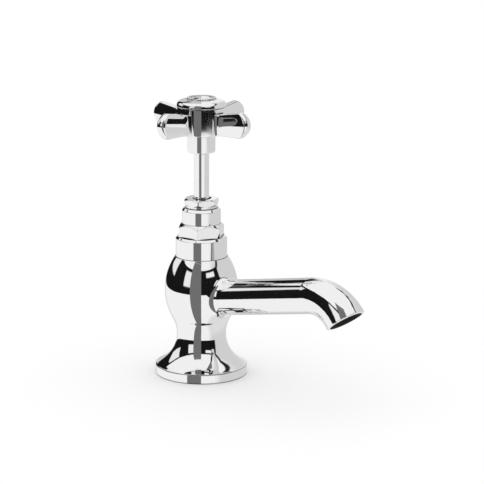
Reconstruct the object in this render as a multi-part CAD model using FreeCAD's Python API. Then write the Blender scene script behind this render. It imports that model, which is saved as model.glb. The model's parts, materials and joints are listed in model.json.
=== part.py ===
import FreeCAD, Part
import math
import os

# Cross handle pillar tap with a rising spindle, in millimetres.
# Origin: centre of the flange's underside, which is the deck plane z = 0.
# +Z is up, +X is the way the spout points. The valve is shown shut.

V = FreeCAD.Vector
ORIGIN = V(0, 0, 0)
UP = V(0, 0, 1)
FULL_TURN = 360.0

# ---------------------------------------------------------------- body casting
flange_r = 25.0          # foot that covers the deck hole
rim_h = 5.2              # upright edge of the foot
rim_chamfer = 0.4
waist_r = 13.4           # narrowest place, above the foot
waist_z = 22.0
bulb_r = 20.0            # widest place of the bulb
bulb_z = 47.0
neck_z = 65.4            # top of the bulb, where the collar sits
shoulder_step = 0.38     # bulb's shoulder stands out past the collar
casting_wall = 3.0
neck_roof_h = 5.4        # casting between the chamber and the neck's shoulder

spout_r = 9.6            # straight stretch of the spout
spout_root_z = 41.6      # height of the spout's axis on the tap's axis
spout_rise = 11.1        # degrees above level
spout_straight = 80.0    # along the spout's axis, from the tap's axis
spout_bend_r = 23.5
spout_turn = 65.0        # degrees, downward
mouth_r = 10.75          # the spout flares through its bend to this
spout_wall = 1.65
spout_root_fillet = 2.5
mouth_chamfer = 0.35
bend_sections = 7        # circles that the bend is lofted through

# ---------------------------------------------------------------- inlet and fixing
tail_r = 13.22           # G 3/4 thread, major radius
tail_bore_r = 9.0
tail_drop = 55.0         # below the deck plane
tail_chamfer = 1.0
tail_spigot_r = 11.0     # screwed up into the body
tail_spigot_h = 16.0
tail_seal_h = 1.0
deck_gap = 20.0          # thickest deck that the backnut can clamp
deck_washer_r = 19.5
deck_washer_h = 1.5
backnut_flats = 32.0
backnut_h = 8.0
backnut_chamfer = 1.4
undercut_gap = 1.5       # below the backnut
undercut_h = 1.2
undercut_depth = 0.9
base_seal_edge = 2.5     # casting left outside the seal's groove
base_seal_w = 6.0
base_seal_h = 3.0

# ---------------------------------------------------------------- valve seat
web_rise = 2.0           # underside of the web that carries the seat, above the waist
web_h = 4.0
seat_thread_r = 8.0
seat_room = 1.0          # between the seat's flange and the chamber's wall
seat_flange_h = 1.2
seat_lip_r = 7.4
seat_lip_h = 1.0
seat_bore_r = 6.0
seat_shank_below = 0.5

# ---------------------------------------------------------------- neck
neck_thread_r = 10.0     # headwork screws in here
pilot_step = 1.0         # headwork's round land is this much larger than its thread
pilot_clear = 0.05
spigot_wall = 1.25       # body's neck inside the collar
collar_wall = 1.65
collar_h = 11.1
collar_lip = 0.9         # thickness of the lip over the neck
collar_chamfer = 1.1
neck_washer_h = 1.0

# ---------------------------------------------------------------- headwork
shank_below_roof = 4.0   # headwork's foot hangs this far into the chamber
hex_flats = 22.5
hex_h = 7.2
hex_top_ledge = 0.2      # round top of the hexagon, outside the ring above it
hex_corner_drop = 2.0
ring_r = 10.5
ring_h = 8.5
ring_chamfer_w = 1.1
ring_chamfer_h = 1.4
box_r = 7.0              # stuffing box, threaded for the gland nut
box_depth = 9.7
guide_h = 2.5            # plain bore under the stuffing box
packing_washer_h = 1.0
packing_h = 4.0
gland_flats = 17.2
gland_corner_cut = 0.23  # turned off the hexagon's corners
gland_neck_h = 1.4
gland_under_h = 1.2      # slope from the neck out to the flats
gland_side_h = 1.7
gland_top_h = 0.8
gland_top_inset = 0.2
gland_sink_w = 1.2
gland_sink_h = 1.0

# ---------------------------------------------------------------- spindle and jumper
stem_r = 4.15
stem_shown = 25.0        # between the gland nut and the handle's sleeve, valve shut
thread_r = 6.0
thread_h = 12.0
thread_depth = 0.8
valve_lift = 6.25        # rise of the spindle from shut to fully open
lift_spare = 1.75        # thread chamber left above the thread, fully open
foot_gap = 0.05          # between the spindle's foot and the jumper's plate
journal_step = 0.25      # journal for the sleeve, below the stem's radius
square_flats = 6.0
run_clear = 0.08         # radial, for turning and sliding fits
thread_clear = 0.09
shut_turn = 2.0          # degrees that the shut handle stands past the spout's line
spanner_turn = 3.0       # the same, for the two hexagons above the collar
plate_over = 0.2         # jumper's plate covers the washer by this
jumper_plate_h = 2.5
jumper_stem_r = 2.5
jumper_stem_h = 15.0
socket_spare = 1.5
washer_over = 1.1        # washer covers the seat's lip by this
tap_washer_h = 4.0
tap_washer_round = 0.4
seat_gap = 0.05          # between the washer and the seat's lip
stud_r = 2.0
washer_nut_flats = 7.0
washer_nut_h = 2.6
stud_below_nut = 0.8

# ---------------------------------------------------------------- handle
sleeve_r = 7.5
sleeve_h = 10.3
sleeve_round = 1.1
sleeve_seat = 3.0        # spindle's shoulder is this far up inside the sleeve
hub_r = 13.0
hub_h = 14.5
hub_round = 0.7
hub_floor_h = 7.5
hub_wall = 1.6           # round the recess that the index cap closes
arm_count = 4
arm_reach = 33.4         # from the axis to the tip of the nose
arm_bottom_rise = 0.45   # arms start this far above the hub's underside
arm_root_x = 6.0         # where the arm's root section is given
arm_root_h = 10.4
arm_top_slope = 8.8      # degrees
arm_root_w = 2.65        # half widths, plan view
arm_tip_w = 3.15
arm_bevel_w = 0.8
arm_bevel_h = 0.6
arm_fillet = 3.4         # between the arms and the hub
arm_fillet_bite = 0.15   # the fillet's arc ends this deep in the hub
arm_fillet_sections = 5
nose_side = 4.9          # length of the nose's round, seen from the side
nose_plan = 1.3          # length of the nose's round, seen from above
square_below_floor = 0.5
screw_r = 2.0
screw_head_r = 4.0
screw_head_h = 3.0
screw_depth = 9.5
screw_slot_w = 1.1
screw_slot_h = 1.3
lock_washer_r = 4.7
lock_washer_h = 0.8

# ---------------------------------------------------------------- index cap
cap_over = 0.3           # cap's rim stands out past the hub
cap_lift = 0.4           # shadow gap between hub and cap
cap_rim = 0.5
cap_crown = 3.8          # crown above the rim's underside
cap_shoulder_r = 2.6
cap_shoulder_turn = 72.0
cap_floor_h = 0.9
index_r = 8.0
index_sink = 1.4         # recess for the index, below the crown
plug_wall = 2.4
plug_h = 4.5
cap_seal_w = 1.4         # seal's square section
cap_seal_drop = 3.1      # its underside below the cap's rim
bead_ring_w = 1.5
bead_stand = 0.35        # bead ring's top above the crown
disc_edge_sink = 0.3     # disc's edge below the crown
disc_dome = 1.6          # disc's dome above its edge


# ================================================================ shaping helpers
def flat_face(start, *steps):
    """A face in the XZ plane. A step is an end point, or a (via, end) pair for an arc."""
    first = V(start[0], 0, start[1])
    here = first
    edges = []
    for step in steps:
        if isinstance(step[0], tuple):
            via, end = step
            there = V(end[0], 0, end[1])
            edges.append(Part.Arc(here, V(via[0], 0, via[1]), there).toShape())
        else:
            there = V(step[0], 0, step[1])
            edges.append(Part.makeLine(here, there))
        here = there
    edges.append(Part.makeLine(here, first))
    return Part.Face(Part.Wire(edges))


def turned(start, *steps):
    """A solid of revolution about the tap's axis from an (r, z) outline."""
    return flat_face(start, *steps).revolve(ORIGIN, UP, FULL_TURN)


def rod(radius, z0, z1):
    return Part.makeCylinder(radius, z1 - z0, V(0, 0, z0))


def ring(r_in, r_out, z0, z1):
    return rod(r_out, z0, z1).cut(rod(r_in, z0, z1))


def hex_bar(flats, z0, z1):
    corner = flats / math.sqrt(3)
    points = []
    for k in range(7):
        angle = math.radians(60 * k)
        points.append(V(corner * math.cos(angle), corner * math.sin(angle), z0))
    return Part.Face(Part.makePolygon(points)).extrude(V(0, 0, z1 - z0))


def square_bar(flats, round_r, z0, z1):
    """A square bar with its corners turned down to a radius."""
    box = Part.makeBox(flats, flats, z1 - z0, V(-flats / 2, -flats / 2, z0))
    return box.common(rod(round_r, z0, z1))


def swung(shape, degrees):
    """The shape turned about the tap's axis."""
    shape.rotate(ORIGIN, UP, degrees)
    return shape


def edges_where(shape, test):
    """The edges whose points all pass a test."""
    found = []
    for edge in shape.Edges:
        if all(test(point) for point in edge.discretize(7)):
            found.append(edge)
    return found


def radius_at(point):
    return math.hypot(point.x, point.y)


# ================================================================ body casting
flare_r = ((flange_r - waist_r) ** 2 + (waist_z - rim_h) ** 2) / (2 * (flange_r - waist_r))
flare_x = waist_r + flare_r
bulge = bulb_r - waist_r
centres_apart = (bulge ** 2 + (bulb_z - waist_z) ** 2) / (2 * bulge)
bulb_arc_r = centres_apart - flare_r


def flare_radius(z):
    return flare_x - math.sqrt(flare_r ** 2 - (z - waist_z) ** 2)


def bulb_radius(z, inset=0.0):
    """Radius of the bulb at a height, inset by a wall: one arc below its widest place, one above."""
    arc_r = bulb_arc_r if z < bulb_z else shoulder_arc_r
    return bulb_r - arc_r + math.sqrt((arc_r - inset) ** 2 - (z - bulb_z) ** 2)


collar_top_z = neck_z + collar_h
spigot_top_z = collar_top_z - collar_lip
neck_washer_z = spigot_top_z - neck_washer_h
chamber_roof_z = neck_z - neck_roof_h
tail_seal_z = tail_spigot_h
web_z = waist_z + web_rise
web_top_z = web_z + web_h
pilot_r = neck_thread_r + pilot_step
pilot_bore_r = pilot_r + pilot_clear
spigot_r = pilot_bore_r + spigot_wall
collar_r = spigot_r + collar_wall
shoulder_r = collar_r + shoulder_step
shoulder_drop = bulb_r - shoulder_r
shoulder_arc_r = (shoulder_drop ** 2 + (neck_z - bulb_z) ** 2) / (2 * shoulder_drop)
base_seal_out_r = flange_r - base_seal_edge
base_seal_in_r = base_seal_out_r - base_seal_w

rise = math.radians(spout_rise)
ALONG = V(math.cos(rise), 0, math.sin(rise))
BELOW = V(math.sin(rise), 0, -math.cos(rise))
SPOUT_ROOT = V(0, 0, spout_root_z)
BEND_START = SPOUT_ROOT + ALONG * spout_straight
BEND_CENTRE = BEND_START + BELOW * spout_bend_r


def bend_place(share):
    """Point and direction on the bend's centre line, from its start (0) to the mouth (1)."""
    turn = math.radians(spout_turn) * share
    point = BEND_CENTRE - BELOW * (spout_bend_r * math.cos(turn)) + ALONG * (spout_bend_r * math.sin(turn))
    heading = ALONG * math.cos(turn) + BELOW * math.sin(turn)
    return point, heading


def spout_run(inset, start, over=0.0):
    """The spout as a solid: a straight rod and a bend that flares to the mouth."""
    straight = Part.makeCylinder(spout_r - inset, spout_straight - start, SPOUT_ROOT + ALONG * start, ALONG)
    circles = []
    for k in range(bend_sections):
        share = k / (bend_sections - 1)
        point, heading = bend_place(share)
        radius = spout_r + (mouth_r - spout_r) * share - inset
        circles.append(Part.Wire(Part.makeCircle(radius, point, heading)))
    run = straight.fuse(Part.makeLoft(circles, True, False))
    if over:
        point, heading = bend_place(1.0)
        run = run.fuse(Part.makeCylinder(mouth_r - inset, over, point, heading))
    return run


def spout_axis_distance(point):
    offset = point - SPOUT_ROOT
    return (offset - ALONG * offset.dot(ALONG)).Length


def body_casting():
    """Foot, waist, bulb and neck in one turned form, with the spout grown out of the bulb."""
    tangent_x = flare_x - flare_r * (centres_apart - bulge) / centres_apart
    tangent_z = waist_z + flare_r * (bulb_z - waist_z) / centres_apart
    low_z = (tangent_z + bulb_z) / 2
    high_z = (bulb_z + neck_z) / 2
    outside = turned(
        (0, 0),
        (flange_r, 0),
        (flange_r, rim_h - rim_chamfer),
        (flange_r - rim_chamfer, rim_h),
        (flare_radius(rim_h), rim_h),
        ((waist_r, waist_z), (tangent_x, tangent_z)),
        ((bulb_radius(low_z), low_z), (bulb_r, bulb_z)),
        ((bulb_radius(high_z), high_z), (shoulder_r, neck_z)),
        (spigot_r, neck_z),
        (spigot_r, spigot_top_z),
        (0, spigot_top_z),
    )
    outside = outside.fuse(spout_run(0.0, 0.0))
    root_edges = edges_where(
        outside,
        lambda p: p.x < spout_straight / 2 and abs(spout_axis_distance(p) - spout_r) < 0.01,
    )
    outside = outside.makeFillet(spout_root_fillet, root_edges)
    mouth, heading = bend_place(1.0)
    mouth_edges = edges_where(outside, lambda p: abs((p - mouth).dot(heading)) < 0.01)
    outside = outside.makeChamfer(mouth_chamfer, mouth_edges)

    chamber = turned(
        (0, web_top_z),
        (bulb_radius(web_top_z, casting_wall), web_top_z),
        (bulb_r - casting_wall, bulb_z),
        (bulb_radius(chamber_roof_z, casting_wall), chamber_roof_z),
        (0, chamber_roof_z),
    )
    hollow = [
        rod(tail_spigot_r, 0, tail_seal_z + tail_seal_h),
        rod(tail_bore_r, tail_seal_z, web_z),
        rod(seat_thread_r, web_z, web_top_z),
        chamber,
        rod(neck_thread_r, chamber_roof_z, spigot_top_z),
        rod(pilot_bore_r, neck_washer_z, spigot_top_z),
        ring(base_seal_in_r, base_seal_out_r, 0, base_seal_h),
        spout_run(spout_wall, bulb_r / 2, over=casting_wall),
    ]
    return outside.cut(hollow).removeSplitter()


def base_seal():
    """Soft ring in the groove under the foot."""
    return ring(base_seal_in_r, base_seal_out_r, 0, base_seal_h)


def valve_seat():
    """Renewable seat screwed into the web, with the raised lip that the washer shuts on."""
    flange_top = web_top_z + seat_flange_h
    seat_flange_r = bulb_radius(web_top_z, casting_wall) - seat_room
    return turned(
        (seat_bore_r, web_z - seat_shank_below),
        (seat_thread_r, web_z - seat_shank_below),
        (seat_thread_r, web_top_z),
        (seat_flange_r, web_top_z),
        (seat_flange_r, flange_top),
        (seat_lip_r, flange_top),
        (seat_lip_r - seat_lip_h / 3, flange_top + seat_lip_h),
        (seat_bore_r, flange_top + seat_lip_h),
    )


# ================================================================ inlet and fixing
backnut_top_z = -deck_gap - deck_washer_h
undercut_z = backnut_top_z - backnut_h - undercut_gap


def inlet_tail():
    """Threaded tail: spigot up into the body, long thread for the backnut and the supply."""
    return turned(
        (tail_bore_r, tail_spigot_h),
        (tail_spigot_r, tail_spigot_h),
        (tail_spigot_r, 0),
        (tail_r, 0),
        (tail_r, undercut_z),
        (tail_r - undercut_depth, undercut_z),
        (tail_r - undercut_depth, undercut_z - undercut_h),
        (tail_r, undercut_z - undercut_h),
        (tail_r, tail_chamfer - tail_drop),
        (tail_r - tail_chamfer, -tail_drop),
        (tail_bore_r, -tail_drop),
    )


def tail_seal():
    return ring(tail_bore_r, tail_spigot_r, tail_seal_z, tail_seal_z + tail_seal_h)


def deck_washer():
    return ring(tail_r, deck_washer_r, backnut_top_z, -deck_gap)


def backnut():
    """Hexagon nut with both faces turned at the corners."""
    bottom_z = backnut_top_z - backnut_h
    nut_corner_r = backnut_flats / math.sqrt(3)
    face_r = backnut_flats / 2 - backnut_chamfer / 2
    turned_corners = turned(
        (0, bottom_z),
        (face_r, bottom_z),
        (nut_corner_r, bottom_z + backnut_chamfer),
        (nut_corner_r, backnut_top_z - backnut_chamfer),
        (face_r, backnut_top_z),
        (0, backnut_top_z),
    )
    nut = hex_bar(backnut_flats, bottom_z, backnut_top_z).common(turned_corners)
    return nut.cut(rod(tail_r, bottom_z, backnut_top_z))


# ================================================================ neck and headwork
def neck_collar():
    """Bright collar round the body's neck, with a lip that the headwork clamps."""
    return turned(
        (spigot_r, neck_z),
        (collar_r, neck_z),
        (collar_r, collar_top_z - collar_chamfer),
        (collar_r - collar_chamfer, collar_top_z),
        (pilot_bore_r, collar_top_z),
        (pilot_bore_r, spigot_top_z),
        (spigot_r, spigot_top_z),
    )


def headwork_washer():
    return ring(neck_thread_r, pilot_bore_r, neck_washer_z, spigot_top_z)


hex_top_z = collar_top_z + hex_h
ring_top_z = hex_top_z + ring_h
headwork_foot_z = chamber_roof_z - shank_below_roof
box_floor_z = ring_top_z - box_depth
guide_r = stem_r + run_clear
thread_roof_z = box_floor_z - guide_h
hex_corner_r = hex_flats / math.sqrt(3)


def headwork_body():
    """Screwed shank, spanner hexagon and stuffing box, bored for the spindle's thread."""
    shank = rod(neck_thread_r, headwork_foot_z, spigot_top_z)
    pilot = rod(pilot_r, spigot_top_z, collar_top_z)
    turned_corners = turned(
        (0, collar_top_z),
        (hex_corner_r, collar_top_z),
        (hex_corner_r, hex_top_z - hex_corner_drop),
        (ring_r + hex_top_ledge, hex_top_z),
        (0, hex_top_z),
    )
    hexagon = swung(hex_bar(hex_flats, collar_top_z, hex_top_z).common(turned_corners), spanner_turn)
    upper = turned(
        (0, hex_top_z),
        (ring_r, hex_top_z),
        (ring_r, ring_top_z - ring_chamfer_h),
        (ring_r - ring_chamfer_w, ring_top_z),
        (0, ring_top_z),
    )
    bores = [
        rod(thread_r + thread_clear, headwork_foot_z, thread_roof_z),
        rod(guide_r, thread_roof_z, box_floor_z),
        rod(box_r, box_floor_z, ring_top_z),
    ]
    return shank.fuse([pilot, hexagon, upper]).cut(bores).removeSplitter()


def packing_washer():
    return ring(guide_r, box_r, box_floor_z, box_floor_z + packing_washer_h)


def gland_packing():
    bottom = box_floor_z + packing_washer_h
    return ring(stem_r + run_clear / 2, box_r, bottom, bottom + packing_h)


gland_under_z = ring_top_z + gland_neck_h
gland_side_z = gland_under_z + gland_under_h
gland_shoulder_z = gland_side_z + gland_side_h
gland_top_z = gland_shoulder_z + gland_top_h


def gland_nut():
    """Hexagon head on a screwed shank that squeezes the packing."""
    inner_r = gland_flats / 2
    outer_r = gland_flats / math.sqrt(3) - gland_corner_cut
    head = turned(
        (0, ring_top_z),
        (inner_r, ring_top_z),
        (inner_r, gland_under_z),
        (outer_r, gland_side_z),
        (outer_r, gland_shoulder_z),
        (inner_r - gland_top_inset, gland_top_z),
        (0, gland_top_z),
    )
    head = head.common(swung(hex_bar(gland_flats, ring_top_z, gland_top_z), spanner_turn))
    shank_z = box_floor_z + packing_washer_h + packing_h
    bore = rod(guide_r, shank_z, gland_top_z)
    sink_z = gland_top_z - gland_sink_h
    sink = Part.makeCone(guide_r, guide_r + gland_sink_w, gland_sink_h, V(0, 0, sink_z))
    return head.fuse(rod(box_r, shank_z, ring_top_z)).cut([bore, sink]).removeSplitter()


# ================================================================ jumper
seat_z = web_top_z + seat_flange_h + seat_lip_h
tap_washer_z = seat_z + seat_gap
plate_z = tap_washer_z + tap_washer_h
plate_top_z = plate_z + jumper_plate_h
spindle_foot_z = plate_top_z + foot_gap
socket_top_z = plate_top_z + jumper_stem_h + socket_spare
tap_washer_r = seat_lip_r + washer_over
jumper_plate_r = tap_washer_r + plate_over


def jumper():
    """Plate with a stem that stands in the spindle and a stud that holds the washer."""
    stud_z = tap_washer_z - washer_nut_h - stud_below_nut
    return turned(
        (0, stud_z),
        (stud_r, stud_z),
        (stud_r, plate_z),
        (jumper_plate_r, plate_z),
        (jumper_plate_r, plate_top_z),
        (jumper_stem_r, plate_top_z),
        (jumper_stem_r, plate_top_z + jumper_stem_h),
        (0, plate_top_z + jumper_stem_h),
    )


def tap_washer():
    low = tap_washer_z + tap_washer_round
    inner = tap_washer_r - tap_washer_round
    return turned(
        (stud_r, tap_washer_z),
        (inner, tap_washer_z),
        (tap_washer_r, low),
        (tap_washer_r, plate_z),
        (stud_r, plate_z),
    )


def washer_nut():
    low = tap_washer_z - washer_nut_h
    return hex_bar(washer_nut_flats, low, tap_washer_z).cut(rod(stud_r, low, tap_washer_z))


# ================================================================ spindle and handle
sleeve_z = gland_top_z + stem_shown
stem_top_z = sleeve_z + sleeve_seat
hub_z = sleeve_z + sleeve_h
hub_floor_z = hub_z + hub_floor_h
hub_top_z = hub_z + hub_h
spindle_top_z = hub_floor_z - square_below_floor
screw_seat_z = hub_floor_z + lock_washer_h
screw_tip_z = screw_seat_z - screw_depth
thread_top_z = thread_roof_z - valve_lift - lift_spare
thread_foot_z = thread_top_z - thread_h
journal_r = stem_r - journal_step
recess_r = hub_r - hub_wall


def spindle():
    """Rising spindle: foot with the jumper's socket, thread, stem, journal and square."""
    foot_r = thread_r - thread_depth
    shaft = turned(
        (0, spindle_foot_z),
        (foot_r, spindle_foot_z),
        (foot_r, thread_foot_z),
        (thread_r, thread_foot_z),
        (thread_r, thread_top_z),
        (stem_r, thread_top_z),
        (stem_r, stem_top_z),
        (journal_r, stem_top_z),
        (journal_r, hub_z),
        (0, hub_z),
    )
    shaft = shaft.fuse(swung(square_bar(square_flats, journal_r, hub_z, spindle_top_z), shut_turn))
    socket = rod(jumper_stem_r + run_clear, spindle_foot_z, socket_top_z)
    screw_hole = rod(screw_r, screw_tip_z, spindle_top_z)
    return shaft.cut([socket, screw_hole]).removeSplitter()


def handle_sleeve():
    """Round sleeve under the hub, standing on the spindle's shoulder."""
    cut45 = sleeve_round * (1 - math.sqrt(0.5))
    sleeve = turned(
        (0, sleeve_z),
        (sleeve_r - sleeve_round, sleeve_z),
        ((sleeve_r - cut45, sleeve_z + cut45), (sleeve_r, sleeve_z + sleeve_round)),
        (sleeve_r, hub_z),
        (0, hub_z),
    )
    return sleeve.cut([rod(stem_r, sleeve_z, stem_top_z), rod(journal_r, stem_top_z, hub_z)])


def arm_section(x, half_width, top_z, bottom_z):
    """Eight-sided section of an arm, upright at a distance from the axis."""
    flat = half_width - arm_bevel_w
    side = [
        (flat, bottom_z),
        (half_width, bottom_z + arm_bevel_h),
        (half_width, top_z - arm_bevel_h),
        (flat, top_z),
    ]
    corners = side + [(-y, z) for y, z in reversed(side)]
    points = [V(x, y, z) for y, z in corners]
    return Part.makePolygon(points + points[:1])


def arm_bar():
    """The arm before its nose is cut: a straight bar, and a root that widens into the hub on an arc."""
    bottom_z = hub_z + arm_bottom_rise
    slope = math.tan(math.radians(arm_top_slope))
    seam_x = arm_reach - nose_plan
    spread = (arm_tip_w - arm_root_w) / (seam_x - arm_root_x)

    def section(x, half_width):
        return arm_section(x, half_width, bottom_z + arm_root_h + slope * (x - arm_root_x), bottom_z)

    def side(x):
        return arm_root_w + spread * (x - arm_root_x)

    # centre of the fillet's arc, in plan: its distance from the side and from the hub's axis are known
    apart = hub_r + arm_fillet - arm_fillet_bite
    square = 1 + spread ** 2
    offset = side(0) + arm_fillet * math.sqrt(square)
    inside = (spread * offset) ** 2 - square * (offset ** 2 - apart ** 2)
    centre_x = (math.sqrt(inside) - spread * offset) / square
    centre_y = offset + spread * centre_x
    end_turn = math.atan2(centre_x, centre_y)
    root = []
    for k in range(arm_fillet_sections):
        turn = end_turn * k / (arm_fillet_sections - 1)
        root.append(section(centre_x - arm_fillet * math.sin(turn), centre_y - arm_fillet * math.cos(turn)))
    end_x = arm_reach + nose_plan
    inner_w = centre_y - arm_fillet * math.cos(end_turn)
    inner_x = centre_x - arm_fillet * math.sin(end_turn)
    inner = Part.makeLoft([section(arm_root_x, inner_w), section(inner_x, inner_w)], True, True)
    outer = Part.makeLoft([section(centre_x, side(centre_x)), section(end_x, side(end_x))], True, True)
    return outer.fuse([Part.makeLoft(root, True, False), inner])


def handle_arm():
    """One arm along +X: a tall bevelled bar that flares upward, with a domed nose."""
    bottom_z = hub_z + arm_bottom_rise
    root_top_z = bottom_z + arm_root_h
    slope = math.tan(math.radians(arm_top_slope))
    seam_x = arm_reach - nose_plan
    nose_x = arm_reach - nose_side
    nose_top = root_top_z + slope * (nose_x - arm_root_x)
    side_view = flat_face(
        (0, bottom_z - arm_bevel_h),
        (nose_x - arm_bevel_h, bottom_z - arm_bevel_h),
        (nose_x, bottom_z),
        ((arm_reach, (nose_top + bottom_z) / 2), (nose_x, nose_top)),
        (nose_x - arm_bevel_h, nose_top + arm_bevel_h),
        (0, nose_top + arm_bevel_h),
    )
    wide = 2 * arm_tip_w
    side_view.translate(V(0, -wide, 0))
    side_cut = side_view.extrude(V(0, 2 * wide, 0))
    seam_low = V(seam_x, -arm_tip_w, 0)
    seam_high = V(seam_x, arm_tip_w, 0)
    plan_wire = Part.Wire(
        [
            Part.makeLine(V(0, -wide, 0), V(seam_x, -wide, 0)),
            Part.makeLine(V(seam_x, -wide, 0), seam_low),
            Part.Arc(seam_low, V(arm_reach, 0, 0), seam_high).toShape(),
            Part.makeLine(seam_high, V(seam_x, wide, 0)),
            Part.makeLine(V(seam_x, wide, 0), V(0, wide, 0)),
            Part.makeLine(V(0, wide, 0), V(0, -wide, 0)),
        ]
    )
    plan_cut = Part.Face(plan_wire).extrude(V(0, 0, 2 * hub_top_z))
    return arm_bar().common(side_cut).common(plan_cut)


def cross_handle():
    """Hub with four arms grown out of it, bored square for the spindle."""
    cut45 = hub_round * (1 - math.sqrt(0.5))
    hub = turned(
        (0, hub_z),
        (hub_r - hub_round, hub_z),
        ((hub_r - cut45, hub_z + cut45), (hub_r, hub_z + hub_round)),
        (hub_r, hub_top_z),
        (0, hub_top_z),
    )
    one = handle_arm()
    arms = []
    for k in range(arm_count):
        arm = one.copy()
        arm.rotate(ORIGIN, UP, FULL_TURN * k / arm_count)
        arms.append(arm)
    cross = hub.fuse(arms)
    square = square_bar(square_flats, journal_r, hub_z, hub_floor_z)
    cross = cross.cut([square, rod(recess_r, hub_floor_z, hub_top_z)]).removeSplitter()
    return swung(cross, shut_turn)


def lock_washer():
    return ring(screw_r, lock_washer_r, hub_floor_z, screw_seat_z)


def handle_screw():
    """Slotted cheese-head screw down into the spindle."""
    head_top = screw_seat_z + screw_head_h
    screw = rod(screw_r, screw_tip_z, screw_seat_z).fuse(rod(screw_head_r, screw_seat_z, head_top))
    slot = Part.makeBox(
        2 * screw_head_r, screw_slot_w, screw_slot_h,
        V(-screw_head_r, -screw_slot_w / 2, head_top - screw_slot_h),
    )
    return swung(screw.cut(slot), shut_turn)


# ================================================================ index cap
cap_z = hub_top_z + cap_lift
cap_r = hub_r + cap_over
crown_z = cap_z + cap_crown
index_floor_z = crown_z - index_sink
disc_edge_z = crown_z - disc_edge_sink
bead_ring_in_r = index_r - bead_ring_w
cap_seal_z = cap_z - cap_seal_drop


def index_cap():
    """Domed cap with a plug that pushes into the hub's recess."""
    turn = math.radians(cap_shoulder_turn)
    centre_x = cap_r - cap_shoulder_r
    centre_z = cap_z + cap_rim

    def on_shoulder(angle):
        return (centre_x + cap_shoulder_r * math.cos(angle), centre_z + cap_shoulder_r * math.sin(angle))

    groove_top = cap_seal_z + cap_seal_w
    groove_r = recess_r - cap_seal_w
    return turned(
        (recess_r, cap_z),
        (cap_r, cap_z),
        (cap_r, centre_z),
        (on_shoulder(turn / 2), on_shoulder(turn)),
        (index_r, crown_z),
        (index_r, index_floor_z),
        (0, index_floor_z),
        (0, index_floor_z - cap_floor_h),
        (recess_r - plug_wall, index_floor_z - cap_floor_h),
        (recess_r - plug_wall, cap_z - plug_h),
        (recess_r, cap_z - plug_h),
        (recess_r, cap_seal_z),
        (groove_r, cap_seal_z),
        (groove_r, groove_top),
        (recess_r, groove_top),
    )


def cap_seal():
    """Square-section ring that grips the hub's recess."""
    return ring(recess_r - cap_seal_w, recess_r, cap_seal_z, cap_seal_z + cap_seal_w)


def bead_ring():
    """Ring with a crowned top that carries the beads."""
    quarter = bead_ring_w / 4
    return turned(
        (bead_ring_in_r, index_floor_z),
        (index_r, index_floor_z),
        (index_r, disc_edge_z),
        (index_r - quarter, crown_z + bead_stand),
        (bead_ring_in_r + quarter, crown_z + bead_stand),
        (bead_ring_in_r, disc_edge_z),
    )


def index_disc():
    """Plain domed disc in the ring."""
    half = bead_ring_in_r / 2
    top_z = disc_edge_z + disc_dome
    dome_r = (bead_ring_in_r ** 2 + disc_dome ** 2) / (2 * disc_dome)
    half_z = top_z - dome_r + math.sqrt(dome_r ** 2 - half ** 2)
    return turned(
        (0, index_floor_z),
        (bead_ring_in_r, index_floor_z),
        (bead_ring_in_r, disc_edge_z),
        ((half, half_z), (0, top_z)),
    )


# ================================================================ write each piece
PIECES = {
    "body_casting": body_casting,
    "base_seal": base_seal,
    "valve_seat": valve_seat,
    "inlet_tail": inlet_tail,
    "tail_seal": tail_seal,
    "deck_washer": deck_washer,
    "backnut": backnut,
    "neck_collar": neck_collar,
    "headwork_washer": headwork_washer,
    "headwork_body": headwork_body,
    "packing_washer": packing_washer,
    "gland_packing": gland_packing,
    "gland_nut": gland_nut,
    "jumper": jumper,
    "tap_washer": tap_washer,
    "washer_nut": washer_nut,
    "spindle": spindle,
    "handle_sleeve": handle_sleeve,
    "cross_handle": cross_handle,
    "lock_washer": lock_washer,
    "handle_screw": handle_screw,
    "index_cap": index_cap,
    "cap_seal": cap_seal,
    "bead_ring": bead_ring,
    "index_disc": index_disc,
}

os.makedirs("parts", exist_ok=True)
for name, make in PIECES.items():
    shape = make()
    print(name, "valid", shape.isValid(), "solids", len(shape.Solids), "volume %.1f" % shape.Volume)
    shape.exportStep("parts/%s.step" % name)
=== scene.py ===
import bmesh
import bpy
import json
import math
import numpy as np
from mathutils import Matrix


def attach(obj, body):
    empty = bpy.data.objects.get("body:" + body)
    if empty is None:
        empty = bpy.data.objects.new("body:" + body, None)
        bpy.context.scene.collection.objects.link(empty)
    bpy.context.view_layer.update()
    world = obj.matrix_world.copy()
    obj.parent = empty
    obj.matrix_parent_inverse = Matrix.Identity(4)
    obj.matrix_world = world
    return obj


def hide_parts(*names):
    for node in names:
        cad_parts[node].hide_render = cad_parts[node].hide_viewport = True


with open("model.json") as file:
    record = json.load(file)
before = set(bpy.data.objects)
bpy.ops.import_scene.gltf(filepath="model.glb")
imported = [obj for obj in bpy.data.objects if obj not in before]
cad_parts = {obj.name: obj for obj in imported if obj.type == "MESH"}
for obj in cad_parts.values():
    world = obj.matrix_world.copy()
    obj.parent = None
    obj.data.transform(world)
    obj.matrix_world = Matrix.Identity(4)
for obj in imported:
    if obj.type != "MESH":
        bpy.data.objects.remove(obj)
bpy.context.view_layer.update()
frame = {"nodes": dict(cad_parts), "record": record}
nodes = frame["nodes"]

scene = bpy.context.scene
scene.view_settings.view_transform = "Standard"

MM = 0.001      # lengths are in metres, and in mm where a section's heading says so


def add_object(name, data):
    made = bpy.data.objects.new(name, data)
    scene.collection.objects.link(made)
    return made


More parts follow.
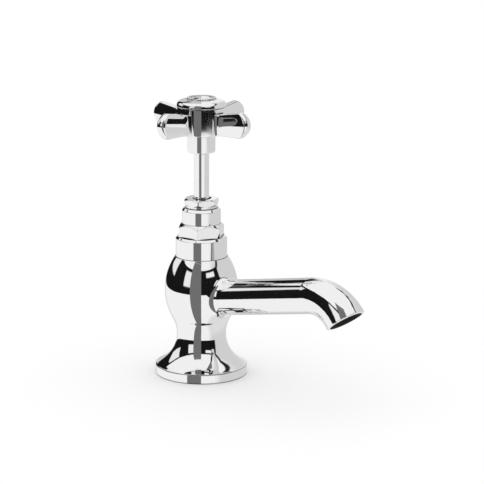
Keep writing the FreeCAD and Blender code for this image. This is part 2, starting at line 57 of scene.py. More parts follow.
# ---------------------------------------------------------------- camera
CAMERA_TURN = math.radians(43.5)        # where the camera stands round the axis, from -Y towards +X
CAMERA_AWAY = 1.150
CAMERA_HIGH = 0.3466
CAMERA_TILT = math.radians(13.392)
CLIP_START, CLIP_END = 0.05, 20
SENSOR_MM = 36.0
IMAGE_SIDE = 484                        # pixels
AXIS_COLUMN = 201.5                     # where the tap's axis stands in the image
FOCAL_PIXELS = 2185.5


def place_camera():
    """The photograph's camera, shifted so that the tap's axis keeps its column."""
    optics = bpy.data.cameras.new("camera")
    optics.sensor_width = SENSOR_MM
    optics.lens = FOCAL_PIXELS / IMAGE_SIDE * SENSOR_MM
    optics.shift_x = (IMAGE_SIDE / 2 - AXIS_COLUMN) / IMAGE_SIDE
    optics.clip_start = CLIP_START
    optics.clip_end = CLIP_END
    camera = add_object("camera", optics)
    across = CAMERA_AWAY * math.sin(CAMERA_TURN)
    along = -CAMERA_AWAY * math.cos(CAMERA_TURN)
    camera.location = (across, along, CAMERA_HIGH)
    camera.rotation_euler = (math.pi / 2 - CAMERA_TILT, 0, CAMERA_TURN)
    scene.camera = camera


place_camera()

# ---------------------------------------------------------------- node helpers
MIX_NUMBERS, MIX_COLOURS = (2, 3), (6, 7)       # a Mix node's pairs of inputs
MIX_COLOUR_OUT = 2


class Graph:
    """Makes and joins shader nodes."""

    def __init__(self, tree):
        self.tree = tree

    def add(self, kind, **settings):
        made = self.tree.nodes.new(kind)
        for key, value in settings.items():
            setattr(made, key, value)
        return made

    def join(self, source, target):
        self.tree.links.new(source, target)

    def put(self, socket, value):
        if isinstance(value, bpy.types.NodeSocket):
            self.join(value, socket)
        else:
            socket.default_value = value

    def math(self, operation, *values):
        made = self.add("ShaderNodeMath", operation=operation)
        for socket, value in zip(made.inputs, values):
            self.put(socket, value)
        return made.outputs[0]

    def ramp(self, value, low, high, out_low=0.0, out_high=1.0, kind="SMOOTHSTEP"):
        made = self.add("ShaderNodeMapRange", interpolation_type=kind)
        for socket, number in zip(made.inputs, (value, low, high, out_low, out_high)):
            self.put(socket, number)
        return made.outputs[0]

    def between(self, value, low, high, soft):
        """1 from low to high and 0 outside, with soft ends."""
        rise = self.ramp(value, low - soft, low + soft)
        fall = self.ramp(value, high - soft, high + soft, 1, 0)
        return self.math("MULTIPLY", rise, fall)

    def blend(self, share, *numbers):
        made = self.add("ShaderNodeMix", data_type="FLOAT")
        self.put(made.inputs[0], share)
        for index, number in zip(MIX_NUMBERS, numbers):
            self.put(made.inputs[index], number)
        return made.outputs[0]

    def colours(self, share, *pair):
        made = self.add("ShaderNodeMix", data_type="RGBA")
        self.put(made.inputs[0], share)
        for index, colour in zip(MIX_COLOURS, pair):
            made.inputs[index].default_value = (*colour, 1)
        return made.outputs[MIX_COLOUR_OUT]

    def noise(self, place, scale, detail=3.0, roughness=0.5):
        made = self.add("ShaderNodeTexNoise")
        self.join(place, made.inputs["Vector"])
        made.inputs["Scale"].default_value = scale
        made.inputs["Detail"].default_value = detail
        made.inputs["Roughness"].default_value = roughness
        return made.outputs["Fac"]

    def bands(self, place, scale, distortion, detail, **settings):
        made = self.add("ShaderNodeTexWave", wave_type="BANDS", **settings)
        self.join(place, made.inputs["Vector"])
        made.inputs["Scale"].default_value = scale
        made.inputs["Distortion"].default_value = distortion
        made.inputs["Detail"].default_value = detail
        return made.outputs["Fac"]

    def bump(self, height, depth, strength, normal=None):
        made = self.add("ShaderNodeBump")
        made.inputs["Strength"].default_value = strength
        made.inputs["Distance"].default_value = depth
        self.join(height, made.inputs["Height"])
        if normal is not None:
            self.join(normal, made.inputs["Normal"])
        return made.outputs["Normal"]


# ---------------------------------------------------------------- surroundings
# A pale studio that only gloss sees: every other ray sees plain white. All of it is fixed in the
# world. Angles are in degrees: height over the horizon, and bearing round the tap, 0 on the side
# where the camera above stands and positive towards the right of its picture.
PLAIN_WHITE = 1.0
ROOM_SHADE = 0.93
RIGHT_WALL = 105                                # bearing of the middle of a duller wall
RIGHT_WALL_ENDS = (50, 75)                      # bearings off its middle where it fades out
RIGHT_WALL_HEIGHTS, RIGHT_WALL_SHADES = (-40, -14), (0.76, 0.66)
FAR_LEFT, FAR_LEFT_SHADES = (-180, -138), (0.60, 1.0)
CEILING = (35, 55)                              # heights where the walls turn into the room's shade
# the dark upper edge of the right-hand screen: bearing and height at three places
EDGE = ((62, 34), (92, 49), (150, 52))
EDGE_HALF, EDGE_SOFT = 4.0, (0.6, 1.3)          # half its thickness, and its fade in shares of it
EDGE_START, EDGE_END = 2, 12                    # bearings over which its ends fade
EDGE_SHADE = 0.02
# flags and panels: left, right, low, high, softness across, softness up, brightness
CARDS = [
    (-164, 64, -10.56, 36, 1.5, 0.06, 0.008),   # dark wall with a sharp lower edge
    (-173, -150, 24, 40, 1.5, 1.5, 0.008),      # dark flag, far left
    (-139, -103, 8, 32, 1.5, 1.5, 0.86),        # pale panel, left
    (-59, -35, 3, 30, 1.5, 1.5, 0.88),          # pale panel, front left
    (17, 47, 22, 31, 1.5, 1.5, 0.90),           # pale panel, front right
    (-36.5, -1, -89, 50, 0.6, 1.5, 0.165),      # grey upright screen in front
    (-36.5, -1, 50, 54, 0.6, 1.0, 0.11),        # its darker top
]


def room_shade(g, bearing, height):
    """The bare room: its right wall and far left are duller than the rest."""
    right_wall = g.ramp(height, *RIGHT_WALL_HEIGHTS, *RIGHT_WALL_SHADES)
    off_middle = g.math("ABSOLUTE", g.math("SUBTRACT", bearing, RIGHT_WALL))
    walls = g.ramp(off_middle, *RIGHT_WALL_ENDS, right_wall, ROOM_SHADE)
    walls = g.math("MULTIPLY", walls, g.ramp(bearing, *FAR_LEFT, *FAR_LEFT_SHADES))
    return g.blend(g.ramp(height, *CEILING), walls, ROOM_SHADE)


def on_edge(g, bearing, height):
    """1 on the screen's dark edge, which rises steeply, then gently, and 0 off it."""
    (b0, h0), (b1, h1), (b2, h2) = EDGE
    steep = g.ramp(bearing, b0, b1, h0, h1, kind="LINEAR")
    gentle = g.ramp(bearing, b1, b2, 0, h2 - h1, kind="LINEAR")
    line = g.math("ADD", steep, gentle)
    off_line = g.math("ABSOLUTE", g.math("SUBTRACT", height, line))
    full, none = EDGE_SOFT
    share = g.ramp(off_line, EDGE_HALF * full, EDGE_HALF * none, 1, 0)
    share = g.math("MULTIPLY", share, g.ramp(bearing, b0 - EDGE_START, b0))
    return g.math("MULTIPLY", share, g.ramp(bearing, b2, b2 + EDGE_END, 1, 0))


def studio():
    """The world: flags and panels in the room for gloss, and plain white for all other rays."""
    world = bpy.data.worlds.new("studio")
    scene.world = world
    world.use_nodes = True
    world.node_tree.nodes.clear()
    g = Graph(world.node_tree)
    split = g.add("ShaderNodeSeparateXYZ")
    g.join(g.add("ShaderNodeTexCoord").outputs["Generated"], split.inputs[0])
    x, y, z = split.outputs
    bearing = g.math("DEGREES", g.math("ARCTAN2", y, x))
    bearing = g.math("ADD", bearing, 90 - math.degrees(CAMERA_TURN))
    bearing = g.math("WRAP", bearing, 180, -180)
    height = g.math("DEGREES", g.math("ARCSINE", z))
    shade = g.blend(on_edge(g, bearing, height), room_shade(g, bearing, height), EDGE_SHADE)
    for left, right, low, high, soft, soft_up, brightness in CARDS:
        across = g.between(bearing, left, right, soft)
        up = g.between(height, low, high, soft_up)
        shade = g.blend(g.math("MULTIPLY", across, up), shade, brightness)
    ray = g.add("ShaderNodeLightPath")
    back = g.add("ShaderNodeBackground")
    g.join(g.blend(ray.outputs["Is Glossy Ray"], PLAIN_WHITE, shade), back.inputs["Color"])
    back.inputs["Strength"].default_value = 1.0
    g.join(back.outputs[0], g.add("ShaderNodeOutputWorld").inputs[0])


studio()

# ---------------------------------------------------------------- materials
# the near-black colour is painted shade, laid into the plating's narrow gaps
PAINTED_GAP_SHADE, PLATING_COLOUR = (0.03, 0.03, 0.03), (0.93, 0.93, 0.935)
BAND_SPACING = 0.314        # metres between a wave texture's bands at a scale of 1


def surface(name):
    """A new material, with its graph, its shader and the place of each point on its piece."""
    made = bpy.data.materials.new(name)
    made.use_nodes = True
    g = Graph(made.node_tree)
    place = g.add("ShaderNodeTexCoord").outputs["Object"]
    return made, g, made.node_tree.nodes["Principled BSDF"], place


def plated(gap_width, edge_radius):
    """Bright plating: faintly uneven, with softened edges, and with painted shade darkening its
    colour in the narrow gaps.
    """
    made, g, shader, place = surface("chrome")
    shader.inputs["Metallic"].default_value = 1.0
    # painted shade: the colour turns near black where ambient occlusion finds close surfaces, in
    # gaps and crevices
    gap = g.add("ShaderNodeAmbientOcclusion", samples=8, only_local=False)
    gap.inputs["Distance"].default_value = gap_width
    unshaded_share = g.ramp(gap.outputs["AO"], low=0.50, high=0.90)
    g.join(g.colours(unshaded_share, PAINTED_GAP_SHADE, PLATING_COLOUR), shader.inputs["Base Color"])
    smear = g.noise(place, scale=60.0, detail=4.0, roughness=0.6)
    uneven = g.ramp(smear, low=0.35, high=0.75, out_low=0.018, out_high=0.05)
    g.join(uneven, shader.inputs["Roughness"])
    edge = g.add("ShaderNodeBevel", samples=6)
    edge.inputs["Radius"].default_value = edge_radius
    ripple = g.noise(place, scale=90.0, detail=2.0)
    normal = g.bump(ripple, depth=0.00001, strength=0.35, normal=edge.outputs["Normal"])
    g.join(normal, shader.inputs["Normal"])
    return made


def turned_metal(name, dark, light, roughness, ring_pitch):
    """Machined metal with fine turning marks and dull spots."""
    made, g, shader, place = surface(name)
    shader.inputs["Metallic"].default_value = 1.0
    spots = g.noise(place, scale=180.0, detail=5.0, roughness=0.6)
    share = g.ramp(spots, low=0.35, high=0.65)
    g.join(g.colours(share, dark, light), shader.inputs["Base Color"])
    marks = g.bands(place, scale=BAND_SPACING / ring_pitch, distortion=1.5, detail=2.0,
                    bands_direction="Z", wave_profile="SIN")
    rough = g.ramp(spots, 0.3, 0.7, out_low=roughness, out_high=roughness + 0.14)
    g.join(rough, shader.inputs["Roughness"])
    g.join(g.bump(marks, depth=0.00002, strength=0.5), shader.inputs["Normal"])
    return made


def dull(made, g, shader, pattern, dark, light, roughness, depth):
    """Colours a pattern's hollows dark and rough, and its crests light and smoother."""
    share = g.ramp(pattern, low=0.3, high=0.7)
    g.join(g.colours(share, dark, light), shader.inputs["Base Color"])
    rough = g.ramp(pattern, 0.25, 0.75, out_low=roughness + 0.1, out_high=roughness - 0.06)
    g.join(rough, shader.inputs["Roughness"])
    g.join(g.bump(pattern, depth, strength=0.6), shader.inputs["Normal"])
    return made


def grainy(name, dark, light, roughness, grain, depth, flatness=1):
    """Non-metal with a pitted grain, or a fibrous one where it is flattened along Z."""
    made, g, shader, place = surface(name)
    scaled = g.add("ShaderNodeMapping")
    g.join(place, scaled.inputs["Vector"])
    scaled.inputs["Scale"].default_value = (1, 1, flatness)
    pattern = g.noise(scaled.outputs["Vector"], grain, detail=6.0, roughness=0.65)
    return dull(made, g, shader, pattern, dark, light, roughness, depth)


def corded(name, dark, light, roughness, grain, depth):
    """Non-metal laid up from greased cord."""
    made, g, shader, place = surface(name)
    pattern = g.bands(place, grain, distortion=3.0, detail=3.0, bands_direction="DIAGONAL")
    return dull(made, g, shader, pattern, dark, light, roughness, depth)


FINISH = {
    "chrome": plated(gap_width=0.0013, edge_radius=0.00035),
    "brass": turned_metal("brass", dark=(0.60, 0.43, 0.20), light=(0.76, 0.60, 0.33),
                          roughness=0.24, ring_pitch=0.0004),
    "steel": turned_metal("steel", dark=(0.50, 0.50, 0.51), light=(0.66, 0.66, 0.67),
                          roughness=0.26, ring_pitch=0.0003),
    "rubber": grainy("rubber", dark=(0.03, 0.03, 0.03), light=(0.065, 0.064, 0.062),
                     roughness=0.62, grain=900.0, depth=0.00004),
    "fibre": grainy("fibre", dark=(0.40, 0.13, 0.09), light=(0.62, 0.25, 0.18),
                    roughness=0.78, grain=700.0, depth=0.00005, flatness=4),
    "packing": corded("packing", dark=(0.12, 0.12, 0.11), light=(0.27, 0.26, 0.24),
                      roughness=0.80, grain=300.0, depth=0.0002),
    "white_plastic": grainy("white_plastic", dark=(0.82, 0.82, 0.80), light=(0.88, 0.88, 0.86),
                            roughness=0.42, grain=500.0, depth=0.00002),
}
FINE_CHROME = plated(gap_width=0.0008, edge_radius=0.00008)
# the unplated bore: near black, partly its own dull cast surface and partly painted shade inside
# the waterway
CAST_BORE_AND_SHADE = grainy("cast_bore_and_shade", dark=(0.018, 0.016, 0.014), light=(0.05, 0.044, 0.036),
                   roughness=0.62, grain=500.0, depth=0.0001)
FINE_PIECES = ("bead_ring", "index_disc")
UNDER_FLOOR = ("inlet_tail", "tail_seal", "deck_washer", "backnut")     # gloss doesn't see them


def dress_nodes():
    """Gives each node the finish of its slot."""
    for row in frame["record"]["subparts"]:
        name, slot = row["node"], row["material_slot"]
        node = nodes[name]
        node.data.materials.clear()
        node.data.materials.append(FINE_CHROME if name in FINE_PIECES else FINISH[slot])
        if name in UNDER_FLOOR:
            node.visible_glossy = False


dress_nodes()

# ---------------------------------------------------------------- reshaped castings (mm)
# A field is negative inside a shape, 0 on its surface and about the distance from it nearby.
PROBE = 0.01                # step over which a gradient is taken
SETTLE_ROUNDS = 6
SETTLE_STEP = 0.6           # the field's value is cut to this in one round
LEAST_SQUARE = 0.05         # of the gradient, so that no step is too long
REFINE_ROUNDS = 9
WELD = 1e-6                 # metres
LEAST_LENGTH = 1e-9         # of a normal


def smooth_max(a, b, width):
    return np.maximum(a, b) + np.maximum(width - np.abs(a - b), 0) ** 2 / (4 * width)


def smooth_min(a, b, width):
    return -smooth_max(-a, -b, width)


def slope_of(field, points):
    """Gradient of a field at points."""
    out = np.empty_like(points)
    for axis in range(3):
        shift = np.zeros(3)
        shift[axis] = PROBE
        out[:, axis] = (field(points + shift) - field(points - shift)) / (2 * PROBE)
    return out


def settle(field, points):
    """Moves points onto the field's zero surface."""
    for _ in range(SETTLE_ROUNDS):
        grads = slope_of(field, points)
        squares = np.maximum((grads ** 2).sum(1), LEAST_SQUARE)
        values = np.clip(field(points), -SETTLE_STEP, SETTLE_STEP)
        points = points - grads * (values / squares)[:, None]
    return points


def centres_of(bm):
    """Middle of each face."""
    return np.array([f.calc_center_median() for f in bm.faces]) / MM


def picked_faces(bm, chosen):
    return [f for f, yes in zip(bm.faces, chosen(centres_of(bm))) if yes]


def triangulate(bm, **settings):
    bmesh.ops.triangulate(bm, faces=[f for f in bm.faces if len(f.verts) > 3], **settings)


def welded_copy(source):
    """A welded copy of a mesh, and its layer that keeps the normal of each corner."""
    corner = np.empty(len(source.loops) * 3)
    source.corner_normals.foreach_get("vector", corner)
    corner = corner.reshape(-1, 3)
    bm = bmesh.new()
    bm.from_mesh(source)
    kept_normal = bm.loops.layers.float_vector.new("kept_normal")
    for face in bm.faces:
        for loop in face.loops:
            loop[kept_normal] = corner[loop.index]
    bmesh.ops.remove_doubles(bm, verts=bm.verts, dist=WELD)
    return bm, kept_normal


def refine(bm, chosen, longest):
    """Halves the edges of the chosen faces until none is too long."""
    for _ in range(REFINE_ROUNDS):
        edges = [e for f in picked_faces(bm, chosen) for e in f.edges
                 if e.calc_length() > longest * MM]
        if not edges:
            break
        once_each = list(dict.fromkeys(edges))
        bmesh.ops.subdivide_edges(bm, edges=once_each, cuts=1, use_grid_fill=False)
        triangulate(bm, quad_method="SHORT_EDGE")


def lay_on_field(bm, faces, field, kept_normal):
    """Moves faces onto a field's zero surface and gives their corners its normals."""
    verts = sorted({v for f in faces for v in f.verts}, key=lambda v: (v.co.x, v.co.y, v.co.z))
    places = settle(field, np.array([v.co for v in verts]) / MM)
    grads = slope_of(field, places)
    grads /= np.linalg.norm(grads, axis=1)[:, None]
    normal_at = {}
    for vert, place, grad in zip(verts, places, grads):
        vert.co = place * MM
        normal_at[vert] = grad
    for face in faces:
        for loop in face.loops:
            loop[kept_normal] = normal_at[loop.vert]
    bm.normal_update()


def mesh_with_normals(bm, name):
    """Ends the working copy as a mesh that has its kept normals as its own."""
    mesh = bpy.data.meshes.new(name)
    bm.to_mesh(mesh)
    bm.free()
    stored = mesh.attributes["kept_normal"]
    normals = np.empty(len(mesh.loops) * 3)
    stored.data.foreach_get("vector", normals)
    normals = normals.reshape(-1, 3)
    normals /= np.maximum(np.linalg.norm(normals, axis=1), LEAST_LENGTH)[:, None]
    mesh.attributes.remove(stored)
    mesh.normals_split_custom_set(normals.tolist())
    return mesh


def reshape(name, node_name, field, chosen, longest, cuts=(), bore=None):
    """A finer copy of a node whose chosen faces lie on a field's zero surface.

    The copy is first cut at planes (point, normal), and bore picks the faces that are unplated,
    which get a near-black colour that is partly their own dull cast surface and partly painted
    shade.
    """
    bm, kept_normal = welded_copy(nodes[node_name].data)
    for point, normal in cuts:
        parts = list(bm.verts) + list(bm.edges) + list(bm.faces)
        bmesh.ops.bisect_plane(bm, geom=parts, dist=WELD,
                               plane_co=[v * MM for v in point], plane_no=normal)
    triangulate(bm)
    refine(bm, chosen, longest)
    lay_on_field(bm, picked_faces(bm, chosen), field, kept_normal)
    for face in bm.faces:
        face.smooth = True
        face.material_index = 0
    if bore is not None:
        for face, inside in zip(bm.faces, bore(centres_of(bm))):
            face.material_index = int(inside)
    mesh = mesh_with_normals(bm, name)
    piece = add_object(name, mesh)
    mesh.materials.append(FINISH["chrome"])
    if bore is not None:
        mesh.materials.append(CAST_BORE_AND_SHADE)
    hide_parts(node_name)
    return piece


# ---------------------------------------------------------------- cross handle (mm)
HUB_R, ARM_REACH = 13.0, 33.4
ARM_LOW, ROOT_TALL = 133.05, 10.4           # underside of the arms, and their height at the root
ROOT_X, ROOT_HALF, TIP_HALF = 6.0, 3.0, 2.88    # half an arm's width, at its root and tip
ROOT_TOP = ARM_LOW + ROOT_TALL
ARM_FILLET, FILLET_IN_HUB = 3.4, 0.15
ARM_SLOPE = math.tan(math.radians(8.8))
ARM_CROWN, CROWN_GAP, CROWN_RUN = 0.85, 0.3, 4.5
CROWN_LIMIT = 1.5                           # of the squared level, outside the arm
NOSE_PLAN, NOSE_SIDE = 1.3, 4.9             # how far the nose falls back at its sides, and top
ARM_EDGE, NOSE_EDGE = 0.9, 0.7              # widths over which the edges are rounded
LEAST_ARC_SQUARE = 0.01                     # keeps the fillet's arc real past its end
HANDLE_TURN = math.radians(2)
ARM_MESH, HUB_MARGIN = 0.75, 0.03           # longest edge, and where the hub's faces end
SPREAD = (TIP_HALF - ROOT_HALF) / (ARM_REACH - NOSE_PLAN - ROOT_X)


def fillet_centre():
    """Centre of the arc between the hub and an arm's straight side."""
    apart = HUB_R + ARM_FILLET - FILLET_IN_HUB
    square = 1 + SPREAD ** 2
    offset = ROOT_HALF - SPREAD * ROOT_X + ARM_FILLET * math.sqrt(square)
    inner = (SPREAD * offset) ** 2 - square * (offset ** 2 - apart ** 2)
    x = (math.sqrt(inner) - SPREAD * offset) / square
    return x, offset + SPREAD * x


FILLET_X, FILLET_Y = fillet_centre()


def arm_field(points):
    """Nearest of the four arms: a bar with crowned sides, rounded edges and a domed nose."""
    angle = np.arctan2(points[:, 1], points[:, 0]) - HANDLE_TURN
    near = np.round(angle / (math.pi / 2)) * (math.pi / 2)
    radius = np.hypot(points[:, 0], points[:, 1])
    x = radius * np.cos(angle - near)
    y = radius * np.sin(angle - near)
    z = points[:, 2]
    straight = ROOT_HALF + SPREAD * (x - ROOT_X)
    arc_square = ARM_FILLET ** 2 - np.minimum(x - FILLET_X, 0) ** 2
    arc = FILLET_Y - np.sqrt(np.maximum(arc_square, LEAST_ARC_SQUARE))
    half = np.where(x < FILLET_X, arc, straight)
    top = ROOT_TOP + ARM_SLOPE * (x - ROOT_X)
    tall = (top - ARM_LOW) / 2
    level = (z - (top + ARM_LOW) / 2) / tall
    bulge = np.minimum(level ** 2, CROWN_LIMIT)
    fade = np.clip((x - HUB_R - CROWN_GAP) / CROWN_RUN, 0, 1)
    crown = ARM_CROWN * fade * fade * (3 - 2 * fade)
    side = np.abs(y) - half + crown * bulge
    cap = (np.abs(level) - 1) * tall
    nose = x - ARM_REACH + NOSE_PLAN * (y / TIP_HALF) ** 2 + NOSE_SIDE * bulge
    return smooth_max(smooth_max(side, cap, ARM_EDGE), nose, NOSE_EDGE)


def on_arm(centres):
    """Faces outside the hub."""
    return np.hypot(centres[:, 0], centres[:, 1]) > HUB_R + HUB_MARGIN


handle = reshape("cross_handle_shaped", "cross_handle", arm_field, on_arm, ARM_MESH)
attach(handle, "spindle_and_handle")

# ---------------------------------------------------------------- body and the spout's root (mm)
FOOT_R, FOOT_RIM = 25.0, 5.2                # the foot, and the height of its upright edge
WAIST_R, WAIST_Z = 13.4, 22.0
BULB_R, BULB_Z = 20.0, 47.0
SPOUT_R, SPOUT_Z = 9.6, 41.6                # its middle line starts at this height on the axis
SPOUT_RISE, SPOUT_STRAIGHT, BEND_ARC = math.radians(11.1), 80.0, 23.5
ROOT_BLEND = 3.4
# the foot flares in an arc from its rim to the waist, and the bulb's arc is tangent to that one
FLARE_ARC = ((FOOT_R - WAIST_R) ** 2 + (WAIST_Z - FOOT_RIM) ** 2) / (2 * (FOOT_R - WAIST_R))
FLARE_X = WAIST_R + FLARE_ARC
ARCS_APART = ((BULB_R - WAIST_R) ** 2 + (BULB_Z - WAIST_Z) ** 2) / (2 * (BULB_R - WAIST_R))
BULB_ARC = ARCS_APART - FLARE_ARC
TANGENT_Z = WAIST_Z + FLARE_ARC * (BULB_Z - WAIST_Z) / ARCS_APART
BEND_START = SPOUT_STRAIGHT * math.cos(SPOUT_RISE)
BEND_X = BEND_START + BEND_ARC * math.sin(SPOUT_RISE)
BEND_Z = SPOUT_Z + SPOUT_STRAIGHT * math.sin(SPOUT_RISE) - BEND_ARC * math.cos(SPOUT_RISE)
BLEND_BACK, BLEND_FRONT, BLEND_SIDE, BLEND_LOW, BLEND_HIGH = 2, 38, 18.5, 25, 63.5
OUTER_DEPTH = 1.45                          # how deep a face may lie and still be the outside
BODY_MESH = 0.8                             # longest edge
# the bore: up to this far from the spout's middle line, and this deep inside the body's wall
SPOUT_BORE, BEND_BORE, BODY_WALL = 8.8, 9.3, 1.3
SPOUT_BORE_START, BORE_OVERLAP, BORE_LOW, BORE_HIGH = 8, 1, 5.3, 64


def wall_radius(z):
    """Outer radius of the foot, waist and bulb at a height."""
    bulb = BULB_R - BULB_ARC + np.sqrt(np.maximum(BULB_ARC ** 2 - (z - BULB_Z) ** 2, 0))
    flare = FLARE_X - np.sqrt(np.maximum(FLARE_ARC ** 2 - (z - WAIST_Z) ** 2, 0))
    return np.where(z > TANGENT_Z, bulb, flare)


def spout_distance(x, y, z):
    """Distance from the middle line of the spout's straight run."""
    return np.hypot((z - SPOUT_Z) * math.cos(SPOUT_RISE) - x * math.sin(SPOUT_RISE), y)


def body_field(points):
    """The turned body and the straight spout, blended where they meet."""
    x, y, z = points.T
    steep = (wall_radius(z + PROBE) - wall_radius(z - PROBE)) / (2 * PROBE)
    wall = (np.hypot(x, y) - wall_radius(z)) / np.sqrt(1 + steep ** 2)
    return smooth_min(wall, spout_distance(x, y, z) - SPOUT_R, ROOT_BLEND)


def near_root(centres):
    """Outer faces round the spout's root."""
    x, y, z = centres.T
    outside = body_field(centres) > -OUTER_DEPTH
    level = (x > BLEND_BACK) & (x < BLEND_FRONT) & (np.abs(y) < BLEND_SIDE)
    return outside & level & (z > BLEND_LOW) & (z < BLEND_HIGH)


def in_bore(centres):
    """Faces of the waterway, the chamber and the inlet."""
    x, y, z = centres.T
    near_line = spout_distance(x, y, z) < SPOUT_BORE
    straight = near_line & (x > SPOUT_BORE_START) & (x < BEND_START + BORE_OVERLAP)
    off_bend = np.hypot(np.hypot(x - BEND_X, z - BEND_Z) - BEND_ARC, y)
    bend = (off_bend < BEND_BORE) & (x > BEND_START)
    deep = np.hypot(x, y) < wall_radius(z) - BODY_WALL
    return straight | bend | (deep & (z > BORE_LOW) & (z < BORE_HIGH))


ACROSS, LEVEL = (1, 0, 0), (0, 0, 1)
BLEND_CUTS = (
    ((BLEND_FRONT, 0, 0), ACROSS), ((BLEND_BACK, 0, 0), ACROSS),
    ((0, 0, BLEND_LOW), LEVEL), ((0, 0, BLEND_HIGH), LEVEL),
)
body = reshape("body_casting_shaped", "body_casting", body_field, near_root, BODY_MESH,
               cuts=BLEND_CUTS, bore=in_bore)
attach(body, "fixed_tap")

# ---------------------------------------------------------------- beads round the index disc (mm)
BEADS, BEAD_R, BEAD_CIRCLE, BEAD_Z = 36, 0.56, 7.3, 151.75
BEAD_SEGMENTS, BEAD_RINGS = 12, 8


def bead_mesh():
    """One mesh of equal beads on a circle."""
    bm = bmesh.new()
    for k in range(BEADS):
        turn = 2 * math.pi * k / BEADS
        made = bmesh.ops.create_uvsphere(bm, u_segments=BEAD_SEGMENTS, v_segments=BEAD_RINGS,
                                         radius=BEAD_R * MM)
        place = (BEAD_CIRCLE * math.cos(turn), BEAD_CIRCLE * math.sin(turn), BEAD_Z)
        bmesh.ops.translate(bm, verts=made["verts"], vec=[v * MM for v in place])
    for face in bm.faces:
        face.smooth = True
    mesh = bpy.data.meshes.new("index_beads")
    bm.to_mesh(mesh)
    bm.free()
    mesh.materials.append(FINE_CHROME)
    return mesh


beads = add_object("index_beads", bead_mesh())
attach(beads, "spindle_and_handle")

# ---------------------------------------------------------------- threaded tail (mm)
THREAD_MAJOR, THREAD_MINOR, THREAD_PITCH, TAIL_BORE = 13.2, 12.06, 1.814, 9.0
THREAD_LOW, THREAD_HIGH, TAIL_END, TAIL_TOP = -54.0, -2.0, -55.0, -0.02
END_R, RUN_OUT = THREAD_MINOR - 0.1, 0.7
SEGMENTS = 64
ROWS_A_TURN = 4             # two on the crest and two in the root
SPARE_ROWS = 12
CUT_WELD, CUT_TOLERANCE = 1e-7, 2e-6        # metres


def ring_vert(bm, radius, turn, z):
    return bm.verts.new((radius * math.cos(turn) * MM, radius * math.sin(turn) * MM, z * MM))


def helix(bm, turns):
    """The thread's surface, a little longer than the thread at both ends."""
    rise = THREAD_PITCH / ROWS_A_TURN
    rows = math.ceil((THREAD_HIGH - THREAD_LOW) / rise) + SPARE_ROWS
    grid = []
    for k in range(rows):
        radius = THREAD_MAJOR if k % ROWS_A_TURN < ROWS_A_TURN / 2 else THREAD_MINOR
        start = THREAD_LOW - THREAD_PITCH + k * rise
        grid.append([ring_vert(bm, radius, turn, start + THREAD_PITCH * s / SEGMENTS)
                     for s, turn in enumerate(turns)])
    for k in range(rows - 1):
        low, high = grid[k], grid[k + 1]
        for s in range(SEGMENTS - 1):
            bm.faces.new((low[s], low[s + 1], high[s + 1], high[s]))
        if k + ROWS_A_TURN + 1 < rows:
            # the end of a row meets the start of the row one turn up
            next_low, next_high = grid[k + ROWS_A_TURN], grid[k + ROWS_A_TURN + 1]
            bm.faces.new((low[-1], next_low[0], next_high[0], high[-1]))


def cut_level(bm, level, low_side):
    """Cuts off what lies below or above a level."""
    parts = list(bm.verts) + list(bm.edges) + list(bm.faces)
    bmesh.ops.bisect_plane(bm, geom=parts, dist=CUT_WELD, plane_co=(0, 0, level * MM),
                           plane_no=(0, 0, 1), clear_inner=low_side, clear_outer=not low_side)


def edges_at(bm, level):
    """Open edges at a level."""
    height = level * MM
    return [e for e in bm.edges if e.is_boundary
            and all(abs(v.co.z - height) < CUT_TOLERANCE for v in e.verts)]


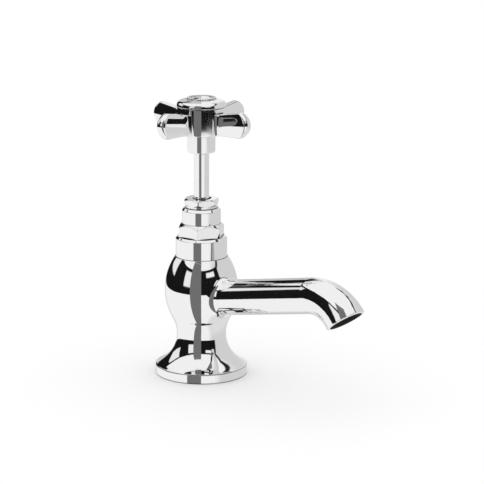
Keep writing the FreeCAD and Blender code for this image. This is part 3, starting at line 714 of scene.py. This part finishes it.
def threaded_tail():
    """A closed tail: thread outside, plain bore, flat ends."""
    bm = bmesh.new()
    turns = [2 * math.pi * s / SEGMENTS for s in range(SEGMENTS)]
    helix(bm, turns)
    cut_level(bm, THREAD_LOW, True)
    cut_level(bm, THREAD_HIGH, False)
    thread_ends = edges_at(bm, THREAD_LOW), edges_at(bm, THREAD_HIGH)
    # the rest of the profile, from the tail's end through the bore to the plain top
    profile = ((END_R, TAIL_END), (TAIL_BORE, TAIL_END), (TAIL_BORE, TAIL_TOP),
               (THREAD_MAJOR, TAIL_TOP), (THREAD_MAJOR, THREAD_HIGH + RUN_OUT))
    circles = [[ring_vert(bm, radius, turn, z) for turn in turns] for radius, z in profile]
    for low, high in zip(circles, circles[1:]):
        for s in range(SEGMENTS):
            n = (s + 1) % SEGMENTS
            bm.faces.new((low[s], low[n], high[n], high[s]))
    for thread_end, circle in zip(thread_ends, (circles[0], circles[-1])):
        ring = [bm.edges.get((circle[s], circle[(s + 1) % SEGMENTS])) for s in range(SEGMENTS)]
        bmesh.ops.bridge_loops(bm, edges=thread_end + ring)
    bmesh.ops.recalc_face_normals(bm, faces=bm.faces)
    mesh = bpy.data.meshes.new("inlet_tail_threaded")
    bm.to_mesh(mesh)
    bm.free()
    mesh.materials.append(FINISH["brass"])
    return mesh


tail = add_object("inlet_tail_threaded", threaded_tail())
tail.visible_glossy = False
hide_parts("inlet_tail")
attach(tail, "fixed_tap")

# ---------------------------------------------------------------- floor
FLOOR_HALF = 4.0
FLOOR_COLOUR, FLOOR_GLOW_COLOUR, FLOOR_GLOW = (0.9, 0.9, 0.9, 1), (1, 1, 1, 1), 0.12


def floor_material():
    """Pale and matt from above, and clear from below."""
    made = bpy.data.materials.new("floor")
    made.use_nodes = True
    shader = made.node_tree.nodes["Principled BSDF"]
    shader.inputs["Base Color"].default_value = FLOOR_COLOUR
    shader.inputs["Roughness"].default_value = 1.0
    shader.inputs["Specular IOR Level"].default_value = 0.0
    shader.inputs["Emission Color"].default_value = FLOOR_GLOW_COLOUR
    shader.inputs["Emission Strength"].default_value = FLOOR_GLOW
    g = Graph(made.node_tree)
    mixed = g.add("ShaderNodeMixShader")
    g.join(g.add("ShaderNodeNewGeometry").outputs["Backfacing"], mixed.inputs[0])
    g.join(shader.outputs[0], mixed.inputs[1])
    g.join(g.add("ShaderNodeBsdfTransparent").outputs[0], mixed.inputs[2])
    g.join(mixed.outputs[0], made.node_tree.nodes["Material Output"].inputs["Surface"])
    return made


def floor_mesh():
    mesh = bpy.data.meshes.new("floor")
    corners = [(-FLOOR_HALF, -FLOOR_HALF, 0), (FLOOR_HALF, -FLOOR_HALF, 0),
               (FLOOR_HALF, FLOOR_HALF, 0), (-FLOOR_HALF, FLOOR_HALF, 0)]
    mesh.from_pydata(corners, [], [(0, 1, 2, 3)])
    mesh.materials.append(floor_material())
    return mesh


floor = add_object("floor", floor_mesh())
floor.visible_glossy = False
